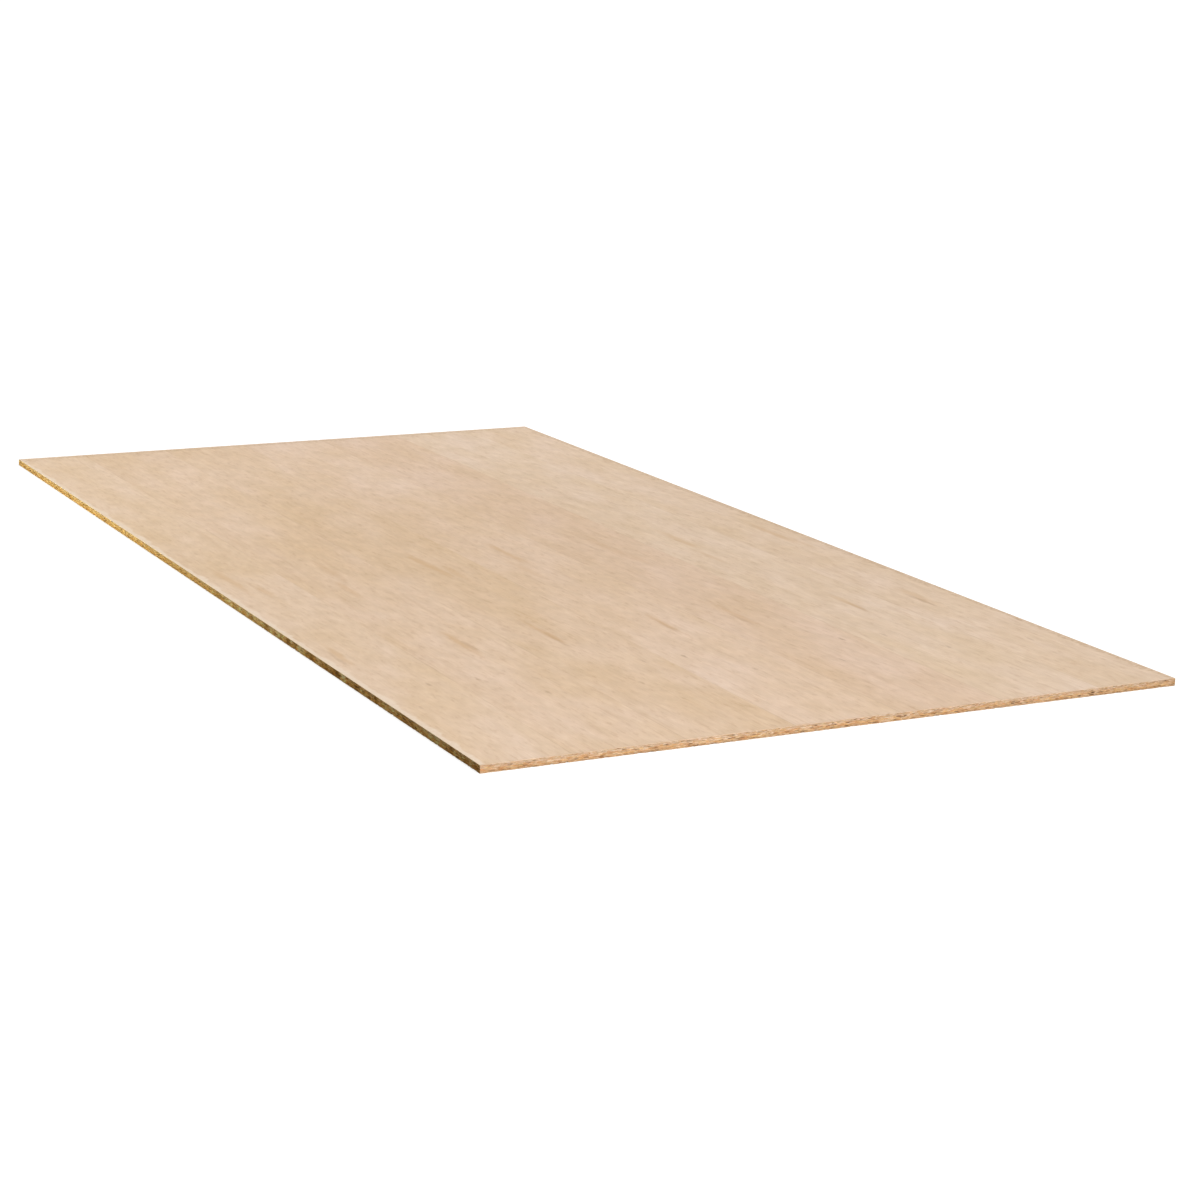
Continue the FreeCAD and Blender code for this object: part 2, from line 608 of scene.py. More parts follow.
# %% [markdown]
# ## How the leaves are matched
#
# The leaves are slices off one log, turned over one by one like the pages of a book. Every second leaf is
# therefore the mirror image of the one before, and the figure drifts a little from slice to slice. Each
# leaf stores its own grain coordinate: the distance from the fold of its page, the distance along the
# board, and the number of the slice. One finish that reads that coordinate then paints all the leaves,
# matched. Each leaf also stores a tint of its own: partly its own colour, because no two slices dry to
# quite the same colour, and partly painted sheen, because a turned leaf catches the light differently.

# %% Work out the fold that each leaf is turned about
# Partly each slice's own colour, partly painted sheen: a turned leaf catches the light differently.
LEAF_TINTS_AND_SHEEN = [
    (1.022, 1.028, 1.022),  # pale straw
    (1.000, 0.990, 0.966),  # straw
    (0.978, 0.962, 0.920),  # honey
    (1.008, 1.006, 1.018),  # plain
    (0.974, 0.957, 0.955),  # tan
    (1.010, 1.037, 1.068),  # cream
    (1.004, 1.022, 1.042),  # greyer cream
]
leaf_boxes = [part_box(name) for name in LEAF_NODES]
LEAF_WIDTH = max(high.x - low.x for low, high in leaf_boxes)


def fold_of(number):
    """X of the fold that a leaf is mirrored about, and which way its grain counts from there."""
    low, high = leaf_boxes[number]
    faces_up = number % 2 == 1
    if number == 0:
        return high.x, -1
    return (low.x, 1) if faces_up else (low.x + LEAF_WIDTH, -1)


print("folds, mm:", [round(fold_of(n)[0] / MM, 1) for n in range(len(LEAF_NODES))])

# %% [markdown]
# ## The shape of a leaf
#
# A leaf is 0.6 mm thick and flat, so what shows is its outline. Along a joint its upper edge is eased by a
# tenth of a millimetre, which leaves a hairline groove between two leaves. Along the rim of the board the
# sander rounds it a little more. Across the ends the saw cuts the fibres and pulls splinters out of them,
# and here and there a wider flake. A grid of points that is bent at its two ends holds all of that.

# %% Tear the ends of a leaf
JOINT_EASE = 0.10 * MM
RIM_EASE = 0.30 * MM
COLUMN_WIDTH = 1.3 * MM
ROW_LENGTH = 42 * MM
FRAY = 0.12 * MM
DEEPEST_TEAR = 3.6 * MM
TEARS = [  # kind of tear: how far apart, half its width, how deep, all in metres
    (11 * MM, 1.8 * MM, 0.9 * MM),
    (120 * MM, 11 * MM, 2.0 * MM),
]
leaf_rng = np.random.default_rng(23)


def torn_end(x):
    """How far a sawn end falls short of the saw line, at each place across a leaf."""
    short = leaf_rng.gamma(1.5, FRAY / 1.5, len(x))
    for spacing, half_width, depth in TEARS:
        for _ in range(leaf_rng.poisson((x[-1] - x[0]) / spacing)):
            middle = leaf_rng.uniform(x[0], x[-1])
            half = half_width * leaf_rng.uniform(0.5, 1.3)
            deep = depth * leaf_rng.gamma(2.0, 0.5)
            ragged = leaf_rng.uniform(0.45, 1, len(x))
            short = np.maximum(short, deep * (1 - abs(x - middle) / half) * ragged)
    return short.clip(0, DEEPEST_TEAR)


print(f"{len(TEARS)} kinds of tear, none deeper than {DEEPEST_TEAR / MM:.1f} mm")

# %% [markdown]
# ## The points of a leaf
#
# The torn ends need many narrow columns, but along its length a leaf is straight, and long steps will do
# there. An even grid of fine squares would take thirty times as many points for the same shape.

# %% Lay out the points of a leaf
def eased_steps(low, high, low_ease, high_ease, pitch):
    """Even steps from low to high, with one more step just inside each end for the eased edge."""
    inside = np.linspace(low + low_ease, high - high_ease, max(2, round((high - low) / pitch)))
    return np.concatenate([[low], inside, [high]])


def leaf_grids(number):
    """The upper and the lower grid of a leaf, each indexed by column, then row."""
    low, high = leaf_boxes[number]
    left_ease = RIM_EASE if number == 0 else JOINT_EASE
    right_ease = RIM_EASE if number == len(leaf_boxes) - 1 else JOINT_EASE
    x = eased_steps(low.x, high.x, left_ease, right_ease, COLUMN_WIDTH)
    y = eased_steps(low.y, high.y, RIM_EASE, RIM_EASE, ROW_LENGTH)
    upper = np.zeros((len(x), len(y), 3))
    upper[..., 0] = x[:, None]
    upper[..., 1] = y[None, :]
    upper[..., 2] = high.z
    near = torn_end(x)[:, None]
    far = torn_end(x)[:, None]
    upper[:, :2, 1] += near
    upper[:, -2:, 1] -= far
    lower = upper.copy()
    lower[..., 2] = low.z
    upper[0, :, 2] -= left_ease
    upper[-1, :, 2] -= right_ease
    for row in (0, -1):
        upper[:, row, 2] = np.minimum(upper[:, row, 2], high.z - RIM_EASE)
    return upper, lower


columns_across = len(eased_steps(0, LEAF_WIDTH, JOINT_EASE, JOINT_EASE, COLUMN_WIDTH))
print(f"{columns_across} columns across the widest leaf")

# %% [markdown]
# ## From grids to a leaf
#
# The two grids and the four walls between them make a closed slab. On the flat map, the face that people
# see takes nearly all the width, and the walls and the glued side get narrow bands beside it.

# %% Spread a slab over the flat map
FACE_STARTS = 0.003
FACE_SHARE = 0.93
BANDS = {"under": (0.940, 0.950), "left": (0.957, 0.966), "right": (0.972, 0.981), "ends": (0.987, 0.997)}
END_SHARE = 0.4
FAR_END_STARTS = 0.6


def quads(grid, flip):
    """The quads of a grid of point numbers, seen from above, or from below if flipped."""
    made = np.stack([grid[:-1, :-1], grid[1:, :-1], grid[1:, 1:], grid[:-1, 1:]], -1).reshape(-1, 4)
    return made[:, ::-1] if flip else made


def band(name, share, lengthwise):
    """Places in a narrow band of the flat map."""
    left, right = BANDS[name]
    return np.stack(np.broadcast_arrays(left + (right - left) * share, 0.005 + 0.99 * lengthwise), -1)


def slab_surfaces(columns, rows):
    """The six sides of a leaf: point numbers, places on the flat map, and whether to flip."""
    top = np.arange(columns * rows).reshape(columns, rows)
    under = top + columns * rows
    across = np.linspace(0, 1, columns)[:, None]
    lengthwise = np.linspace(0, 1, rows)[None, :]
    face_across = FACE_STARTS + (FACE_SHARE - FACE_STARTS) * across
    face_map = np.stack(np.broadcast_arrays(face_across, lengthwise), -1)
    level = np.array([0.0, 1.0])[None, :]
    left = np.stack([under[0], top[0]], 1)
    right = np.stack([top[-1], under[-1]], 1)
    near = np.stack([top[:, 0], under[:, 0]], 1)
    far = np.stack([under[:, -1], top[:, -1]], 1)
    return [
        (top, face_map, False),
        (under, band("under", across, lengthwise), True),
        (left, band("left", level, lengthwise.T), False),
        (right, band("right", level, lengthwise.T), False),
        (near, band("ends", level * END_SHARE, across), False),
        (far, band("ends", FAR_END_STARTS + level * END_SHARE, across), False),
    ]


print(f"the good face takes {FACE_SHARE:.0%} of each map")

# %% [markdown]
# ## Seven leaves
#
# A slicer turns out leaves that are all alike, and so does one function: it lays the grid, wraps the six
# sides round it, and stores the grain coordinate and the tint with the points.

# %% Build every leaf
def store(piece, name, kind, values):
    """Stores one vector or colour with each point of a piece."""
    attribute = piece.data.attributes.new(name, kind, "POINT")
    attribute.data.foreach_set("color" if kind == "FLOAT_COLOR" else "vector", np.float32(values).ravel())


def build_leaf(number):
    """One leaf, with the grain coordinate that its finish reads."""
    upper, lower = leaf_grids(number)
    faces = []
    flat_map = []
    for grid, places, flip in slab_surfaces(*upper.shape[:2]):
        numbers = np.arange(grid.size).reshape(grid.shape)
        corners = quads(numbers, flip)
        faces.append(grid.ravel()[corners])
        flat_map.append(places.reshape(-1, 2)[corners].reshape(-1, 2))
    points = np.concatenate([upper.reshape(-1, 3), lower.reshape(-1, 3)])
    leaf = make_piece(
        f"veneer_leaf_{number + 1}",
        points.tolist(),
        np.concatenate(faces).tolist(),
        np.concatenate(flat_map),
        LEAF_NODES[number],
    )
    fold, way = fold_of(number)
    grain = np.stack([(points[:, 0] - fold) * way, points[:, 1], np.full(len(points), float(number))], 1)
    store(leaf, "grain", "FLOAT_VECTOR", grain)
    tint = (*LEAF_TINTS_AND_SHEEN[number % len(LEAF_TINTS_AND_SHEEN)], 1)
    store(leaf, "leaf_tint_and_sheen", "FLOAT_COLOR", np.full((len(points), 4), tint))
    return leaf


leaves = [build_leaf(number) for number in range(len(LEAF_NODES))]

# %% [markdown]
# ## The back veneer
#
# The underside is a single sheet. Its outline follows the bites along the lower edge, so it is drawn as one
# closed line round the board, one point every millimetre and a half, and given a thickness.

# %% Draw the outline of the back veneer
OUTLINE_STEP = 1.5 * MM
BACK_FRAY = 0.08 * MM
back_rng = np.random.default_rng(31)


def back_outline():
    """X and Y round the back veneer, and the distance along the strip of each point."""
    xy = []
    distance = []
    for side in range(4):
        count = round(SIDE_LENGTHS[side] / OUTLINE_STEP)
        walked = CORNERS[side] + (np.arange(count) + 0.5) * SIDE_LENGTHS[side] / count
        depth = bitten(walked) + back_rng.gamma(1.5, BACK_FRAY / 1.5, count)
        to_corner = np.minimum(walked - CORNERS[side], CORNERS[side + 1] - walked)
        depth = np.minimum(depth, to_corner)
        xy.append(on_board(walked, depth, np.full(count, side)))
        distance.append(walked)
    return np.concatenate(xy), np.concatenate(distance)


rim_xy, rim_distance = back_outline()
print(f"{len(rim_xy)} points round the back veneer")

# %% [markdown]
# ## Giving the outline a thickness
#
# Two copies of the outline, one at each level, are filled with a single face each and joined by a wall.
# That is all a flat sheet needs. On the flat map the seen side takes nearly everything, and the glued side
# and the wall get narrow bands.

# %% Build the back veneer
MAP_EDGE = 0.005
MAP_HEIGHT = 0.99
SEEN_WIDTH = 0.92
GLUED_STARTS, GLUED_WIDTH = 0.94, 0.01
WALL_LEFT, WALL_RIGHT = 0.96, 0.99

count = len(rim_xy)
back_points = np.concatenate([
    np.column_stack([rim_xy, np.full(count, back_low.z)]),
    np.column_stack([rim_xy, np.full(count, back_high.z)]),
])
back_faces = [list(range(count))[::-1], list(range(count, 2 * count))]
share = (rim_xy - SIDE_STARTS[0]) / (WIDTH, LENGTH)
upward = MAP_EDGE + MAP_HEIGHT * share[:, 1]
seen = np.stack([MAP_EDGE + SEEN_WIDTH * share[:, 0], upward], 1)
glued = np.stack([GLUED_STARTS + GLUED_WIDTH * share[:, 0], upward], 1)
back_map = [seen[::-1], glued]
for k in range(count):
    after = (k + 1) % count
    back_faces.append([k, after, count + after, count + k])
    here = rim_distance[k]
    there = here + OUTLINE_STEP
    wall = [(WALL_LEFT, here), (WALL_LEFT, there), (WALL_RIGHT, there), (WALL_RIGHT, here)]
    back_map.append(np.array(wall) * (1, MAP_HEIGHT / (STRIP + OUTLINE_STEP)))
back_sheet = make_piece(
    "back_sheet", back_points.tolist(), back_faces, np.concatenate(back_map), "back_veneer"
)

# %% [markdown]
# ## A small language for finishes
#
# A finish is a graph of nodes: noise becomes streaks, streaks become colour. Wiring each node by hand takes
# five lines of code. The helpers below take that down to one, so that what is left to read is the recipe.

# %% Wire up a material
class Wiring:
    """A material being built. Each method adds one node and gives back the socket that leaves it."""

    def __init__(self, name):
        self.material = bpy.data.materials.new(name)
        self.material.use_nodes = True
        self.tree = self.material.node_tree
        self.shader = self.tree.nodes["Principled BSDF"]

    def feed(self, socket, value):
        if isinstance(value, bpy.types.NodeSocket):
            self.tree.links.new(value, socket)
        elif value is not None:
            socket.default_value = value

    def node(self, kind, *values, **settings):
        made = self.tree.nodes.new(kind)
        for key, setting in settings.items():
            setattr(made, key, setting)
        for socket, value in zip(made.inputs, values):
            self.feed(socket, value)
        return made

    def maths(self, operation, a, b=None):
        return self.node("ShaderNodeMath", a, b, operation=operation).outputs[0]

    def place(self, x, y, z):
        return self.node("ShaderNodeCombineXYZ", x, y, z).outputs[0]


print("a material can be wired with:", [name for name in vars(Wiring) if name[0] != "_"])

# %% [markdown]
# Wood needs a few more words: noise, a smooth fade between two levels, a blend of two colours, and noise
# drawn out along the grain. They build on the ones above, and the last word hands the result to the shader.

# %% Add the words for wood
class Finish(Wiring):
    """A material for wood, built from noise."""

    def noise(self, place, detail=2.0, roughness=0.5):
        made = self.node("ShaderNodeTexNoise")
        self.feed(made.inputs["Vector"], place)
        self.feed(made.inputs["Scale"], 1.0)
        self.feed(made.inputs["Detail"], detail)
        self.feed(made.inputs["Roughness"], roughness)
        return made.outputs[0]

    def fade(self, value, start, end, low=0.0, high=1.0):
        """A smooth change from low to high, as value goes from start to end."""
        return self.node(
            "ShaderNodeMapRange", value, start, end, low, high, interpolation_type="SMOOTHSTEP"
        ).outputs[0]

    def blend(self, share, a, b, way="MIX"):
        made = self.node("ShaderNodeMix", data_type="RGBA", blend_type=way)
        self.feed(made.inputs[0], share)
        self.feed(made.inputs[6], a if isinstance(a, bpy.types.NodeSocket) else (*a, 1))
        self.feed(made.inputs[7], b if isinstance(b, bpy.types.NodeSocket) else (*b, 1))
        return made.outputs[2]

    def vary(self, colour, share, low, high):
        """The colour times something between low and high."""
        return self.blend(1.0, colour, self.blend(share, low, high), "MULTIPLY")

    def stretched(self, place, x, y, z, detail=2.0, roughness=0.5):
        """Noise that is drawn out: each number is how many waves it has in a metre, or in a slice."""
        scaled = self.node("ShaderNodeVectorMath", place, (x, y, z), operation="MULTIPLY").outputs[0]
        return self.noise(scaled, detail, roughness)

    def strength(self, share, times):
        """A share, made weaker."""
        return self.maths("MULTIPLY", share, times)

    def finish(self, colour, roughness, height, relief, shine):
        """Wires colour, roughness and relief to the shader. Relief is the height of the bumps in metres."""
        self.feed(self.shader.inputs["Base Color"], colour)
        self.feed(self.shader.inputs["Roughness"], roughness)
        self.feed(self.shader.inputs["Specular IOR Level"], shine)
        bump = self.node("ShaderNodeBump")
        self.feed(bump.inputs["Strength"], 1.0)
        self.feed(bump.inputs["Distance"], relief)
        self.feed(bump.inputs["Height"], height)
        self.feed(self.shader.inputs["Normal"], bump.outputs[0])
        print(self.material.name, "has", len(self.tree.nodes), "nodes")
        return self.material


print("and for wood:", [name for name in vars(Finish) if name[0] != "_"])

# %% [markdown]
# ## The grain of the face veneer
#
# Pale hardwood such as birch or maple has almost no pattern from afar. Its life is in many quiet layers:
# fibres a fraction of a millimetre wide and a hand long, soft rings a centimetre apart, and short dashes,
# light and dark, where the fibres dip below the surface and rise again. Every layer is noise stretched
# along the board, and each adds only a percent or two. All of them read the stored grain coordinate, so
# they mirror from leaf to leaf and drift slowly.

# %% Follow the grain of a leaf
WANDER = 0.040
RIPPLE = 0.006

face = Finish("face_veneer")
grain = face.node("ShaderNodeAttribute", attribute_name="grain").outputs["Vector"]
grain_parts = face.node("ShaderNodeSeparateXYZ", grain)
across, along_board, slice_number = grain_parts.outputs
wander = face.maths("SUBTRACT", face.stretched(grain, 5.0, 1.1, 0.21, 2.0), 0.5)
ripple = face.maths("SUBTRACT", face.stretched(grain, 30.0, 9.0, 0.6, 2.0), 0.5)
wavy_across = face.maths("ADD", across, face.strength(wander, WANDER))
wavy_across = face.maths("ADD", wavy_across, face.strength(ripple, RIPPLE))
wavy = face.place(wavy_across, along_board, slice_number)
print("the grain wanders, in", len(face.tree.nodes), "nodes so far")

# %% [markdown]
# Each layer is one noise, and shows only where that noise is strong, or, for the pale flashes, where it is
# weak. Its three first numbers say how many waves it has in a metre across, in a metre along, and from
# slice to slice. The list after them says from where to where a layer fades in, how strongly, and in which
# colour.

# %% Mix the quiet layers of the grain
PALE = (0.750, 0.568, 0.412)
PLAIN = (0.705, 0.518, 0.366)
RING = (0.630, 0.440, 0.290)
DASH = (0.575, 0.385, 0.240)
FLASH = (0.810, 0.635, 0.475)

fibres = face.stretched(wavy, 1500.0, 12.0, 3.1, 3.0, 0.6)
threads = face.stretched(wavy, 430.0, 7.0, 1.7, 3.0, 0.6)
rings = face.stretched(wavy, 75.0, 1.0, 0.45, 4.0, 0.55)
dashes = face.stretched(wavy, 150.0, 33.0, 2.3, 2.0, 0.6)
wood = face.blend(face.fade(fibres, 0.30, 0.72), PALE, PLAIN)
LAYERS = [
    (threads, 0.50, 0.78, 0.40, RING),
    (rings, 0.50, 0.72, 0.24, RING),
    (dashes, 0.53, 0.76, 0.50, DASH),
    (dashes, 0.47, 0.24, 0.42, FLASH),
]
for layer, starts, full, strength, colour in LAYERS:
    wood = face.blend(face.strength(face.fade(layer, starts, full), strength), wood, colour)
print(f"{len(LAYERS)} layers over the fibres")

# %% [markdown]
# Between the dashes and the whole leaf there are soft patches. The small ones only shimmer, lighter and
# darker. The larger they are, the more they also change colour, from pinkish cream to straw.

# %% Lay soft patches over the grain
SOFT_PATCHES = [  # waves in a metre across and along, drift between slices, darker colour, lighter colour
    ((60.0, 24.0), 1.7, (0.956, 0.950, 0.940), (1.034, 1.038, 1.044)),
    ((24.0, 10.0), 1.1, (0.970, 0.960, 0.935), (1.024, 1.030, 1.052)),
    ((10.0, 3.6), 0.8, (0.978, 0.965, 0.925), (1.018, 1.026, 1.062)),
    ((4.5, 1.7), 0.5, (0.982, 0.970, 0.940), (1.014, 1.022, 1.046)),
]
for (waves_across, waves_along), drift, darker, lighter in SOFT_PATCHES:
    soft = face.stretched(wavy, waves_across, waves_along, drift, 2.0)
    wood = face.vary(wood, face.fade(soft, 0.28, 0.72), darker, lighter)
print(f"{len(SOFT_PATCHES)} sizes of soft patch")

# %% [markdown]
# Pores are the cut ends of the tree's water vessels. On a sliced face they are dark dashes a few
# millimetres long. Noise that is kept only where it is strongest gives dashes of uneven length, in loose
# groups.

# %% Scatter the pores
PORE = (0.42, 0.272, 0.160)
PORE_STRENGTH = 0.50
pore_noise = face.stretched(wavy, 1900.0, 150.0, 5.0, 1.0)
pore_groups = face.fade(face.stretched(wavy, 90.0, 9.0, 0.8, 2.0), 0.38, 0.66)
pores = face.maths("MULTIPLY", face.fade(pore_noise, 0.66, 0.80), pore_groups)
wood = face.blend(face.strength(pores, PORE_STRENGTH), wood, PORE)
print("pores and all:", len(face.tree.nodes), "nodes")

# %% [markdown]
# ## Marks that return in every leaf
#
# A mineral stain or a healed twig runs through the log, so it shows in every slice, mirrored, and changes a
# little from one to the next. That return of the same mark is what tells the eye that the leaves are
# matched. Each mark is a soft oval in the grain coordinate. Its place and its strength shift with the slice
# number.

# %% Draw one recurring mark
FAINTEST, BOLDEST = 0.35, 1.0
RAGGED = 0.65


def mark(place, size, drift, seed):
    """How strongly a mark shows here: 1 in its middle, fading to 0 at its rim."""
    slice_noise = [
        face.maths("SUBTRACT", face.noise(face.place(slice_number, seed + step, 0.5), 0.0), 0.5)
        for step in (0.0, 7.3)
    ]
    off_across = face.maths("SUBTRACT", wavy_across, face.maths("MULTIPLY", slice_noise[0], drift[0]))
    off_along = face.maths("SUBTRACT", along_board, face.maths("MULTIPLY", slice_noise[1], drift[1]))
    u = face.maths("DIVIDE", face.maths("SUBTRACT", off_across, place[0]), size[0])
    v = face.maths("DIVIDE", face.maths("SUBTRACT", off_along, place[1]), size[1])
    reach = face.node("ShaderNodeVectorMath", face.place(u, v, 0.0), operation="LENGTH").outputs["Value"]
    rough_edge = face.stretched(wavy, 0.9 / size[0], 2.2 / size[1], 1.3, 3.0, 0.6)
    ragged = face.strength(face.maths("SUBTRACT", rough_edge, 0.5), 2 * RAGGED)
    reach = face.maths("ADD", reach, ragged)
    change = face.noise(face.place(slice_number, seed + 3.1, 9.0), 0.0)
    oval = face.fade(reach, 1.0, 0.15)
    return face.maths("MULTIPLY", oval, face.fade(change, 0.35, 0.65, FAINTEST, BOLDEST))


print(f"a mark keeps {FAINTEST:.0%} to {BOLDEST:.0%} of its strength from leaf to leaf")

# %% [markdown]
# The log had two warm stains, a mineral streak with a stain round it, two twigs, and four soft streaks.
# Painted one by one they would need seventy ovals. Here each is one line of a list, and the slice number
# repeats it.

# %% Place the recurring marks
NEAR_END = -LENGTH / 2
WARM_STAIN = (0.610, 0.395, 0.215)
MINERAL = (0.450, 0.275, 0.150)
TWIG = (0.395, 0.235, 0.130)
MARKS = [  # colour, strength, place across and along from the near end, half its size, drift, seed
    (WARM_STAIN, 0.75, (0.090, 1.190), (0.014, 0.130), (0.024, 0.08), 1.0),
    (WARM_STAIN, 0.60, (0.072, 1.080), (0.011, 0.100), (0.025, 0.10), 2.0),
    (MINERAL, 0.72, (0.113, 0.600), (0.0066, 0.062), (0.030, 0.02), 11.0),
    (WARM_STAIN, 0.80, (0.111, 0.630), (0.0110, 0.110), (0.026, 0.02), 13.0),
    (TWIG, 0.75, (0.043, 0.415), (0.0042, 0.017), (0.022, 0.02), 17.0),
    (TWIG, 0.65, (0.108, 0.300), (0.0040, 0.016), (0.020, 0.03), 19.0),
    (RING, 0.55, (0.150, 0.860), (0.006, 0.150), (0.030, 0.10), 23.0),
    (RING, 0.50, (0.020, 1.560), (0.007, 0.180), (0.020, 0.10), 29.0),
    (DASH, 0.50, (0.060, 0.720), (0.005, 0.050), (0.050, 0.12), 31.0),
    (DASH, 0.45, (0.140, 0.160), (0.004, 0.060), (0.040, 0.10), 37.0),
]
for colour, strength, (place_across, place_along), size, drift, seed in MARKS:
    shown = mark((place_across, NEAR_END + place_along), size, drift, seed)
    wood = face.blend(face.strength(shown, strength), wood, colour)
print(f"{len(MARKS)} marks, each {len(LEAF_NODES)} times")

# %% [markdown]
# One more line starts at the far end, close to the fold, and bends away from it for half a metre, like the
# edge of an old branch. Its distance from the fold is a formula: it grows with the square root of the
# distance from the end.

# %% Draw the long bent line
FAR_END = LENGTH / 2
BENT_LINE_LENGTH = 0.62
BENT_LINE_START = 0.016
BENT_LINE_SWING = 0.050
DARK_SIDE = 3.2 * MM
PALE_SIDE = 5.0 * MM
BETWEEN_SIDES = 7.5 * MM
BENT_LINE_SIDES = [(RING, 0.38), (PALE, 0.45)]

from_far_end = face.maths("MAXIMUM", face.maths("SUBTRACT", FAR_END, along_board), 0.0)
bend = face.maths("MULTIPLY", face.maths("SQRT", from_far_end), BENT_LINE_SWING)
off_line = face.maths("SUBTRACT", face.maths("SUBTRACT", wavy_across, bend), BENT_LINE_START)
dark_side = face.fade(face.maths("ABSOLUTE", off_line), DARK_SIDE, 0.0)
pale_side = face.fade(face.maths("ABSOLUTE", face.maths("ADD", off_line, BETWEEN_SIDES)), PALE_SIDE, 0.0)
fading = face.fade(from_far_end, BENT_LINE_LENGTH, 0.08)
leaf_strength = face.fade(face.noise(face.place(slice_number, 41.0, 2.0), 0.0), 0.35, 0.62, 0.25, 1.0)
fading = face.maths("MULTIPLY", fading, leaf_strength)
for side, (colour, strength) in zip((dark_side, pale_side), BENT_LINE_SIDES):
    shown = face.strength(face.maths("MULTIPLY", side, fading), strength)
    wood = face.blend(shown, wood, colour)
print(f"a bent line {BENT_LINE_LENGTH:.2f} m long in every leaf")

# %% [markdown]
# ## Differences between leaves, and across the board
#
# A page turned over shows the other side of the cut, where the fibres lean away from the light, so every
# second leaf looks a shade lighter. From the first slice to the last the wood also turns from straw to
# cream. Each leaf has one tint for both, which was stored with its grain. Halfway along the board the wood
# is a touch deeper.

# %% Tint the leaves
MIDDLE_TINTS = ((0.972, 0.962, 0.945), (1.006, 1.006, 1.012))
# The stored tint is partly each leaf's own colour and partly painted sheen.
leaf_tint_and_sheen = face.node("ShaderNodeAttribute", attribute_name="leaf_tint_and_sheen").outputs["Color"]
wood = face.blend(1.0, wood, leaf_tint_and_sheen, "MULTIPLY")
from_middle = face.maths("ABSOLUTE", face.maths("SUBTRACT", along_board, 0.10))
wood = face.vary(wood, face.fade(from_middle, 0.0, 1.1), *MIDDLE_TINTS)
print(f"{len(LEAF_TINTS_AND_SHEEN)} tints for the leaves")

# %% [markdown]
# ## Glue in the joints
#
# Close to a joint a little glue has soaked into the wood and darkens it in places, and all along the last
# stretch before the near end. A joint lies where the stored distance from the fold is zero, or one leaf's
# width, so the shade needs no mesh of its own.

# %% Darken the joints
GLUE_SHADE = (0.50, 0.345, 0.215)
GLUE_STRENGTH = 0.45
GLUE_FROM = 1.7 * MM
GLUE_FULL = 0.2 * MM
END_GLUE_FROM = 0.24
END_GLUE_FULL = 0.04

from_fold = face.maths("ABSOLUTE", across)
from_other_edge = face.maths("ABSOLUTE", face.maths("SUBTRACT", across, LEAF_WIDTH))
near_joint = face.maths("MINIMUM", from_fold, from_other_edge)
patchy = face.fade(face.stretched(grain, 3.0, 5.0, 0.7, 3.0), 0.46, 0.64)
near_the_end = face.fade(along_board, NEAR_END + END_GLUE_FROM, NEAR_END + END_GLUE_FULL, 0.0, 0.8)
patchy = face.maths("MAXIMUM", patchy, near_the_end)
joint = face.maths("MULTIPLY", face.fade(near_joint, GLUE_FROM, GLUE_FULL), patchy)
wood = face.blend(face.strength(joint, GLUE_STRENGTH), wood, GLUE_SHADE)
print(f"glue darkens {GLUE_FROM / MM:.1f} mm on either side of a joint")

# %% [markdown]
# ## The rim of the face
#
# The left rim is painted pale and slightly fuzzy: a painted highlight, where the eased edge catches the
# light. Along the other three, above all the right and the far one, the face is painted darker instead, as
# painted shade along those rims. Neither band is straight, so each starts as a distance from the rim, which
# noise then stretches and shrinks.

# %% Measure how close each rim is
# Painted highlight: a pale band along the left rim.
RIM_HIGHLIGHT_FROM = 12 * MM
RIM_HIGHLIGHT_FULL = 7 * MM
# Painted shade: darker bands along the right, far and near rims.
RIM_SHADE_BANDS = [  # where browning starts, where it is full, and how strong, at the right, far and near rims
    (17 * MM, 9 * MM, 1.0),
    (34 * MM, 20 * MM, 0.8),
    (7 * MM, 1 * MM, 0.35),
]

spot = face.node("ShaderNodeTexCoord").outputs["Object"]
spot_parts = face.node("ShaderNodeSeparateXYZ", spot)
fuzz = face.fade(face.stretched(spot, 130.0, 130.0, 1.0, 2.0), 0.3, 0.7)
from_left = face.maths("ADD", spot_parts.outputs[0], WIDTH / 2)
from_near = face.maths("ADD", spot_parts.outputs[1], LENGTH / 2)
from_right = face.maths("SUBTRACT", WIDTH / 2, spot_parts.outputs[0])
from_far = face.maths("SUBTRACT", LENGTH / 2, spot_parts.outputs[1])
wavering = face.fade(face.stretched(spot, 21.0, 21.0, 1.0, 3.0), 0.30, 0.70, 0.65, 1.45)
# The pale band along the left rim is a painted highlight, and the darker bands along the other rims are
# painted shade.
rim_highlight = face.fade(face.maths("MULTIPLY", from_left, wavering), RIM_HIGHLIGHT_FROM, RIM_HIGHLIGHT_FULL)
rim_shade = 0.0
for distance, (starts, full, strength) in zip((from_right, from_far, from_near), RIM_SHADE_BANDS):
    rim = face.fade(face.maths("MULTIPLY", distance, wavering), starts, full, 0.0, strength)
    rim_shade = face.maths("MAXIMUM", rim, rim_shade)
print("bands along the rim, mm:", [round(starts / MM) for starts, full, strength in RIM_SHADE_BANDS])

# %% [markdown]
# ## Painted highlight, painted shade and scuffs along the rim
#
# The same fuzzy noise breaks up the painted highlight and the painted shade, each in its own way. The near
# end also has a few scuffs, as an end gets when a board is stood on it.

# %% Paint the highlight, the shade and the scuffs on the rim
# The first colour below is a painted highlight, the second painted shade; the scuffs are real wear.
RIM_HIGHLIGHT = (0.825, 0.670, 0.530)
RIM_SHADE = (0.520, 0.350, 0.205)
SCUFFED = (0.600, 0.395, 0.235)
SCUFF_REACH = 9 * MM
SCUFF_STRENGTH = 0.60

